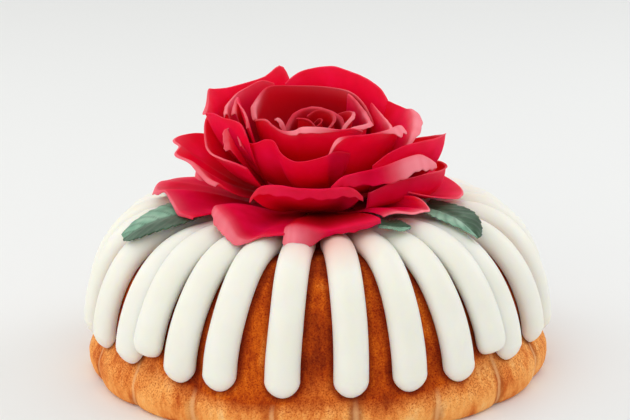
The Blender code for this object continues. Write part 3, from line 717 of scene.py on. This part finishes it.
# Smaller petals between the others: the number of the petal that each belongs with, and its shape
SMALL_PETAL_SEED = 30
SMALL_PETALS = (
    (2, Petal("inner",
              ((58, 15, 127), (66, 16.5, 131.5), (84, 19, 135), (104, 20, 136), (124, 19.5, 135),
               (146, 19, 132)),
              lips=(2.5, 3, 1, 1), roll=(110,), pale=(0.8, 0.9, 0.3, 0.1), wave=0.3)),
    (8, Petal("second",
              ((-92, 42, 136), (-100, 42.5, 141), (-102, 42, 144), (-84, 41, 144.5), (-68, 41, 143),
               (-60, 41, 139), (-58, 41, 134)),
              lips=(3.5, 2, 1, 1, 1.5, 2), roll=(100,), pale=(1, 0.6, 0.3, 0.3, 0.6, 0.5), wave=0.2)),
    (12, Petal("third",
              ((-57, 52.5, 124), (-59, 52.5, 129), (-60, 51.5, 134), (-57, 50.5, 136), (-54, 50, 133),
               (-51, 49.5, 127)),
              lips=(4, 4, 4, 1.5, 1, 1), roll=(70,), pale=(0.5, 0.55, 0.5, 0.4, 0.7, 0.7), wave=0.2)),
    (16, Petal("side",
              ((28, 56, 105), (38, 60, 109), (48, 64, 111), (58, 67.5, 111.5), (66, 70, 111),
               (74, 70.5, 110.5), (84, 69, 109), (98, 66, 107)),
              lips=(1.5,), roll=(60,), pale=(0.1, 0.1, 0.4, 0.2), wave=0.4)),
)


def along(values, share):
    """A smooth curve through evenly spaced values or points, read at a share of its length."""
    points = [value if isinstance(value, tuple) else (value,) for value in values]
    if len(points) == 1:
        return points[0]
    step = min(max(share, 0), 1) * (len(points) - 1)
    i = min(int(step), len(points) - 2)
    t = step - i
    b, c = points[i], points[i + 1]
    a = points[i - 1] if i else tuple(2 * m - n for m, n in zip(b, c))
    d = points[i + 2] if i + 2 < len(points) else tuple(2 * n - m for m, n in zip(b, c))
    return tuple(0.5 * (2 * n + (o - m) * t + (2 * m - 5 * n + 4 * o - q) * t * t
                        + (3 * n - m - 3 * o + q) * t ** 3) for m, n, o, q in zip(a, b, c, d))


def bezier(a, b, c, d, t):
    """A point of the curve that leaves a towards b and comes to d from c."""
    s = 1 - t
    return tuple(s ** 3 * i + 3 * s * s * t * j + 3 * s * t * t * k + t ** 3 * m
                 for i, j, k, m in zip(a, b, c, d))


def petal_section(ring, rim, t):
    """Radius and height, in mm, at a share t of the way from the base to a point of the rim."""
    base = (ring.radius, ring.height)
    start, rise = math.radians(ring.base_angle), math.radians(ring.rim_angle)
    reach = math.dist(base, rim) * PETAL_REACH
    first = (base[0] + reach * math.cos(start), base[1] + reach * math.sin(start))
    second = (rim[0] - reach * math.cos(rise), rim[1] - reach * math.sin(rise))
    return bezier(base, first, second, rim, t)


def wander(seed, pattern, share, row, depth=0):
    """Smooth noise of a pattern, which is its swings along the rim and its strength."""
    swings, strength = pattern
    return strength * noise.noise(seed + Vector((share * swings, row, depth)))


def petal_place(petal, number, share, v):
    """A point of a petal, how pale it is from thinner dye and painted sheen, and how dark its painted
    shade is. share runs along the rim, v from the base to the lip's edge."""
    seed = Vector((number * PETAL_SEED_STEP, 0, 0))
    ring = RINGS[petal.ring]
    rim_azimuth, rim_radius, rim_height = along(petal.rim, share)
    t = min(v / LIP_FROM, 1)
    rim = (rim_radius, rim_height)
    radius, height = petal_section(ring, rim, t)
    before = petal_section(ring, rim, t - HEADING_STEP)
    heading = math.atan2(height - before[1], radius - before[0])
    if v > LIP_FROM:
        length = along(petal.lips, share)[0] * (1 + wander(seed, RAGGED_LIP, share, 4))
        turn = math.radians(along(petal.roll, share)[0]) * (1 + wander(seed, UNEVEN_ROLL, share, 8))
        gone = length * (v - LIP_FROM) / (1 - LIP_FROM)
        bend = min(LIP_BEND, length * LIP_BEND_SHARE)
        bent = min(gone / bend, 1) * turn
        radius += bend / turn * (math.sin(heading) - math.sin(heading - bent))
        height += bend / turn * (math.cos(heading - bent) - math.cos(heading))
        radius += max(gone - bend, 0) * math.cos(heading - turn)
        height += max(gone - bend, 0) * math.sin(heading - turn)
    ripple = wander(seed, BROAD_RIPPLE, share, 2) + wander(seed, FINE_RIPPLE, share, 3, t)
    out = ripple * petal.wave * ease(t) * (1 - ease(t * 2 - 1) * RIM_CALM)
    radius += out * math.sin(heading)
    height -= out * math.cos(heading)
    middle = (petal.rim[0][0] + petal.rim[-1][0]) / 2
    spread = blend(ring.base_width, 1, math.sin(t * math.pi / 2) ** SPREAD_CURVE)
    pale = along(petal.pale, share)[0] * ease((v - PALE_FROM) / PALE_RUN)
    pale *= 0.9 + wander(seed, DYE_STREAKS, share, v * 2, 5)
    foot_shade = ease((ring.dark_from - v) / (ring.dark_from - ring.dark_to))
    azimuth = math.radians(middle + (rim_azimuth - middle) * spread)
    return polar(azimuth, radius * MM, height * MM), (max(pale, 0), foot_shade)


# Dyed silk, stiffened and hot pressed: deep red and matt, thin enough to glow where light falls on its
# far side. Where the rim is rolled back it turns pink and glows less: partly thinner dye and partly a
# painted sheen. Towards the foot of each petal the red is darkened by painted shade.
# The weave is drawn ten times as coarse as the real threads, so that it shows.
DYE_PER_METRE = 60
WEAVE_PER_METRE = 900

silk, silk_shader = new_material(
    "dyed_rose_silk", Roughness=0.7, Specular_IOR_Level=0.03, Subsurface_Scale=5 * MM,
    Subsurface_Radius=(1.0, 0.08, 0.1))
silk_where = add_node(silk, "TexCoord")
dye = add_node(silk, "TexNoise", {"Vector": (silk_where, "Object")},
               {"Scale": DYE_PER_METRE, "Detail": 3})
dye_tone = add_node(silk, "ValToRGB", {"Fac": (dye, "Fac")},
                    stops=((0.3, "#dc0430"), (0.55, "#ee083c"), (0.75, "#f8104a")))
# Painted shade: the red darkens towards the foot of each petal and over the whole cup under the bud.
painted_foot_shade_mark = add_node(silk, "Attribute", attribute_name="painted_foot_shade")
foot_shaded = add_node(silk, "MixRGB", {"Fac": (painted_foot_shade_mark, "Fac"), "Color1": (dye_tone, "Color")},
                    {"Color2": linear("#aa0414")})
pale_and_sheen_mark = add_node(silk, "Attribute", attribute_name="pale")
# Pink rims: partly thinner dye and partly painted sheen.
worn_and_sheen = add_node(silk, "MixRGB", {"Fac": (pale_and_sheen_mark, "Fac"), "Color1": (foot_shaded, "Color")},
                {"Color2": linear("#ff909c")})
silk.node_tree.links.new(worn_and_sheen.outputs["Color"], silk_shader.inputs["Base Color"])
glow = add_node(silk, "MapRange", {"Value": (pale_and_sheen_mark, "Fac")}, {"To Min": 0.65, "To Max": 0.1})
silk.node_tree.links.new(glow.outputs["Result"], silk_shader.inputs["Subsurface Weight"])
weave = add_node(silk, "TexNoise", {"Vector": (silk_where, "Object")},
                 {"Scale": WEAVE_PER_METRE, "Detail": 1})
weave_bump = add_node(silk, "Bump", {"Height": (weave, "Fac")}, {"Strength": 0.15, "Distance": 0.2 * MM})
silk.node_tree.links.new(weave_bump.outputs["Normal"], silk_shader.inputs["Normal"])


def give_thickness(piece, thickness):
    """Cloth of one thickness, grown evenly to both sides."""
    solid = piece.modifiers.new("Thickness", "SOLIDIFY")
    solid.thickness = thickness
    solid.offset = 0


def make_petal(name, part, number, petal):
    """One petal, which stands for the node called part."""
    piece = grid_piece(name, PETAL_ROWS, PETAL_COLUMNS,
                       lambda v, share: petal_place(petal, number, share, v), silk,
                       marks=("pale", "painted_foot_shade"))
    give_thickness(piece, PETAL_THICKNESS)
    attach(piece, "root")
    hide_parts(part)


for number, petal in enumerate(PETALS, 1):
    make_petal(f"silk_petal_{number:02d}", f"rose_petal_{number:02d}", number, petal)
for number, petal in SMALL_PETALS:
    make_petal(f"silk_small_petal_{number:02d}", f"rose_petal_{number:02d}",
               number + SMALL_PETAL_SEED, petal)

# Rose heart.
# Three narrow petals of the same silk rolled round each other into a bud, glued on a cup that holds all
# the petals. Their rims are turned out a little.
HEART_PETALS = (
    Petal("bud",
          ((-30, 3.4, 130), (0, 3, 130), (45, 3, 131.5), (95, 3.2, 133), (150, 3.4, 133),
           (200, 3.8, 130)),
          lips=(0.8,), roll=(110,), pale=(0.08,), wave=0.3),
    Petal("bud",
          ((-160, 7, 129), (-125, 8.5, 132.5), (-90, 9, 134), (-58, 8.5, 135), (-30, 7, 134.5),
           (-5, 6, 131.5), (12, 6.5, 128)),
          lips=(1.2, 1.6, 1.6, 1), roll=(120,), pale=(0.05, 0.05, 0.1, 0.2), wave=0.4),
    Petal("bud",
          ((18, 9, 127), (48, 9.5, 130.5), (80, 9.5, 133.5), (110, 8.5, 135.5), (145, 7.5, 136.5),
           (180, 7.5, 136), (212, 8, 133)),
          lips=(1.6, 2.2, 2, 1.4), roll=(110,), pale=(0.2, 0.2, 0.1, 0.05), wave=0.4),
)
HEART_SEED = 40
HEART_FOOT = ((17.5, 86.5), (17, 89), (15.5, 93), (13.5, 97),
              (11, 102), (9.5, 106), (7, 110), (0.5, 112))
HEART_FOOT_ROWS = 20
HEART_FOOT_AROUND = 48

for number, petal in enumerate(HEART_PETALS, 1):
    make_petal(f"silk_heart_{number:02d}", "rose_heart", number + HEART_SEED, petal)


def foot_place(down, around):
    """The moulded cup under the bud, from its top down to the icing. Its red is darkened all through by
    painted shade.
    """
    step = (1 - down) * (len(HEART_FOOT) - 1)
    i = min(int(step), len(HEART_FOOT) - 2)
    radius, height = (blend(HEART_FOOT[i][k], HEART_FOOT[i + 1][k], step - i) for k in (0, 1))
    return polar(around * 2 * math.pi, radius * MM, height * MM), (0, 1)


foot = grid_piece("silk_heart_foot", HEART_FOOT_ROWS, HEART_FOOT_AROUND, foot_place, silk,
                  closed_columns=True, marks=("pale", "painted_foot_shade"))
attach(foot, "root")
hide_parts("rose_heart")

# Leaves.
# Printed cloth leaves with toothed edges, pressed with a midrib and side veins. They are pushed in under
# the rose and lie over the ropes. The far half of each is darker than the near half: painted shade, as
# if that half were turned away from the light.
LEAF_THICKNESS = 0.5 * MM
LEAF_LIFT = 1.0 * MM
LEAF_RAISE = 2 * MM
LEAF_RAISE_FADE = 0.6
LEAF_WAVE = 0.5 * MM
LEAF_WAVE_TURNS = (9, 2)
LEAF_FOLD = 0.9 * MM
LEAF_FOLD_SHARE = 1 / 3
LEAF_ROWS = 90
LEAF_COLUMNS = 25
LEAF_FULLNESS = 0.75
LEAF_OUTLINE = (0.12, 0.98)
LEAF_TIP = 0.985
LEAF_TEETH = 11
LEAF_TOOTH_DEPTH = 0.11
LEAF_TOOTH_FROM = 0.7
LEAF_TOOTH_MIDDLE = 0.6
LEAF_TOOTH_STAGGER = 0.3
LEAF_VEINS = 7
LEAF_VEIN_SLANT = 0.3
LEAF_VEIN_DEPTH = 0.25 * MM
LEAF_MIDRIB = 1.6

# A leaf: its node, its base and its tip as azimuth in degrees and distance from the crest in mm, its
# width in mm, and which side is raised off the ropes (-1 left, 1 right)
LEAVES = (
    ("leaf_left", (-57, -5), (-67, 30), 33, -1),
    ("leaf_right", (61, -8), (52, 25), 25, 1),
    ("leaf_front", (25, 1), (34, 10), 11, 1),
)


def make_leaf(name, base, tip, width, raised_side, material):
    """A leaf laid over the ropes: folded along its midrib, toothed at its edges, pointed at its tip."""
    top_of_ropes = ROPE_SEAT + ROPE_HEIGHT + LEAF_LIFT
    run = math.atan2(math.radians(tip[0] - base[0]) * SPONGE_CREST_RADIUS / MM, tip[1] - base[1])

    def place(v, across):
        u = across * 2 - 1
        outline = min(blend(*LEAF_OUTLINE, v), LEAF_TIP)
        half = width * MM / 2 * math.sin(math.pi * outline) ** LEAF_FULLNESS
        tooth = (v * LEAF_TEETH + LEAF_TOOTH_STAGGER * (u > 0)) % 1
        toothed = ease((abs(u) - LEAF_TOOTH_FROM) / (1 - LEAF_TOOTH_FROM))
        half *= 1 + LEAF_TOOTH_DEPTH * (tooth - LEAF_TOOTH_MIDDLE) * toothed
        side = half * u
        distance = blend(base[1], tip[1], v) * MM - side * math.sin(run)
        radius, height, normal = meridian.at(distance)
        azimuth = math.radians(blend(base[0], tip[0], v))
        azimuth += side * math.cos(run) / (radius + top_of_ropes)
        vein = abs(((v - abs(u) * LEAF_VEIN_SLANT) * LEAF_VEINS) % 1 - 0.5) * 2
        lift = top_of_ropes + LEAF_RAISE * max(u * raised_side, 0) * (1 - LEAF_RAISE_FADE * v)
        lift += LEAF_WAVE * (math.sin(v * LEAF_WAVE_TURNS[0] + u * LEAF_WAVE_TURNS[1]) * abs(u) + 1)
        lift += LEAF_FOLD * min(abs(u) / LEAF_FOLD_SHARE, 1) + LEAF_VEIN_DEPTH * vein
        point = polar(azimuth, radius + normal[0] * lift, height + normal[1] * lift)
        midrib = ease(1 - abs(u) * width / LEAF_MIDRIB)
        return point, (max(ease(vein * 3 - 2), midrib), u)

    return grid_piece(f"cloth_{name}", LEAF_ROWS, LEAF_COLUMNS, place, material, marks=("vein", "half"))


# Printed polyester leaf cloth: grey-green with a waxy film, dark veins and a soft sheen.
PRINT_PER_METRE = 90

leaf, leaf_shader = new_material("printed_leaf_cloth", Roughness=0.5, Specular_IOR_Level=0.35,
                                 Sheen_Weight=0.1)
leaf_where = add_node(leaf, "TexCoord")
blotches = add_node(leaf, "TexNoise", {"Vector": (leaf_where, "Object")},
                    {"Scale": PRINT_PER_METRE, "Detail": 4})
# Two copies of the print: a lit one for the near half and a darker one in painted shade for the far
# half.
leaf_lit_half = add_node(leaf, "ValToRGB", {"Fac": (blotches, "Fac")},
                      stops=((0.3, "#54806a"), (0.5, "#76a68d"), (0.75, "#a2c6b0")))
leaf_shaded_half = add_node(leaf, "ValToRGB", {"Fac": (blotches, "Fac")},
                     stops=((0.3, "#28432f"), (0.5, "#3c5c46"), (0.75, "#557560")))
half_mark = add_node(leaf, "Attribute", attribute_name="half")
half_side = add_node(leaf, "MapRange", {"Value": (half_mark, "Fac")},
                     {"From Min": -0.15, "From Max": 0.15})
leaf_tone = add_node(leaf, "MixRGB", {"Fac": (half_side, "Result"), "Color1": (leaf_lit_half, "Color"),
                                      "Color2": (leaf_shaded_half, "Color")})
vein_mark = add_node(leaf, "Attribute", attribute_name="vein")
vein_depth = add_node(leaf, "Math", {0: (vein_mark, "Fac")}, {1: 0.55}, operation="MULTIPLY")
veined = add_node(leaf, "MixRGB", {"Fac": (vein_depth, "Value"), "Color1": (leaf_tone, "Color")},
                  {"Color2": linear("#2b4034")})
leaf.node_tree.links.new(veined.outputs["Color"], leaf_shader.inputs["Base Color"])

for name, *shape in LEAVES:
    piece = make_leaf(name, *shape, leaf)
    give_thickness(piece, LEAF_THICKNESS)
    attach(piece, "root")
    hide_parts(name)

# Floor, lights and camera.
# A plain pale floor in a pale room, with four large soft lights: a window behind the cake on each side,
# one above, and the bright room in front. The camera looks down a little, as the photograph does.
FLOOR_HALF = 12
floor_mesh = bpy.data.meshes.new("floor")
floor_corners = [(x * FLOOR_HALF, y * FLOOR_HALF, 0) for x, y in ((-1, -1), (1, -1), (1, 1), (-1, 1))]
floor_mesh.from_pydata(floor_corners, [], [(0, 1, 2, 3)])
painted = new_material("pale_painted_floor", Roughness=0.7, Base_Color=linear("#eceef0"))[0]
floor_mesh.materials.append(painted)
floor = bpy.data.objects.new("floor", floor_mesh)
bpy.context.scene.collection.objects.link(floor)

ROOM_BRIGHTNESS = 0.84

world = bpy.data.worlds.new("pale_room")
world.use_nodes = True
world.node_tree.nodes["Background"].inputs["Color"].default_value = linear("#f7f6f2")
world.node_tree.nodes["Background"].inputs["Strength"].default_value = ROOM_BRIGHTNESS
bpy.context.scene.world = world
bpy.context.scene.view_settings.view_transform = "Standard"

LIGHT_TARGET = Vector((0, 0, 0.06))


def add_light(name, size, power, place, colour):
    """A square area light that looks at the cake."""
    lamp = bpy.data.lights.new(name, "AREA")
    lamp.size = size
    lamp.energy = power
    lamp.color = linear(colour)[:3]
    light = bpy.data.objects.new(name, lamp)
    light.location = place
    light.rotation_euler = (LIGHT_TARGET - Vector(place)).to_track_quat("-Z", "Y").to_euler()
    bpy.context.scene.collection.objects.link(light)


add_light("window_above", 1.2, 3.0, (-0.35, -0.35, 1.6), "#fffaf2")
add_light("window_left", 1.0, 3.8, (-1.3, 0.5, 0.9), "#fffdf8")
add_light("window_right", 1.0, 5.5, (1.3, 0.5, 0.9), "#f8faff")
add_light("room_front", 1.4, 4.4, (-0.8, -1.3, 0.5), "#fffcf6")

CAMERA_DISTANCE = 1.1
CAMERA_ELEVATION = 0.2669
CAMERA_FOCAL_PIXELS = 2035.642
CAMERA_TARGET = Vector((-0.0008, 0, 0.0836))
CAMERA_ROLL = -0.0114
IMAGE_WIDTH = 630
SENSOR_WIDTH = 36

back = Vector((0, -math.cos(CAMERA_ELEVATION), math.sin(CAMERA_ELEVATION)))
level = Vector((1, 0, 0))
upright = back.cross(level)
rolled_level = level * math.cos(CAMERA_ROLL) + upright * math.sin(CAMERA_ROLL)
rolled_upright = upright * math.cos(CAMERA_ROLL) - level * math.sin(CAMERA_ROLL)
camera = bpy.data.objects.new("camera", bpy.data.cameras.new("camera"))
camera.matrix_world = (Matrix.Translation(CAMERA_TARGET + back * CAMERA_DISTANCE)
                       @ Matrix((rolled_level, rolled_upright, back)).transposed().to_4x4())
camera.data.sensor_width = SENSOR_WIDTH
camera.data.lens = CAMERA_FOCAL_PIXELS / IMAGE_WIDTH * SENSOR_WIDTH
bpy.context.scene.collection.objects.link(camera)
bpy.context.scene.camera = camera
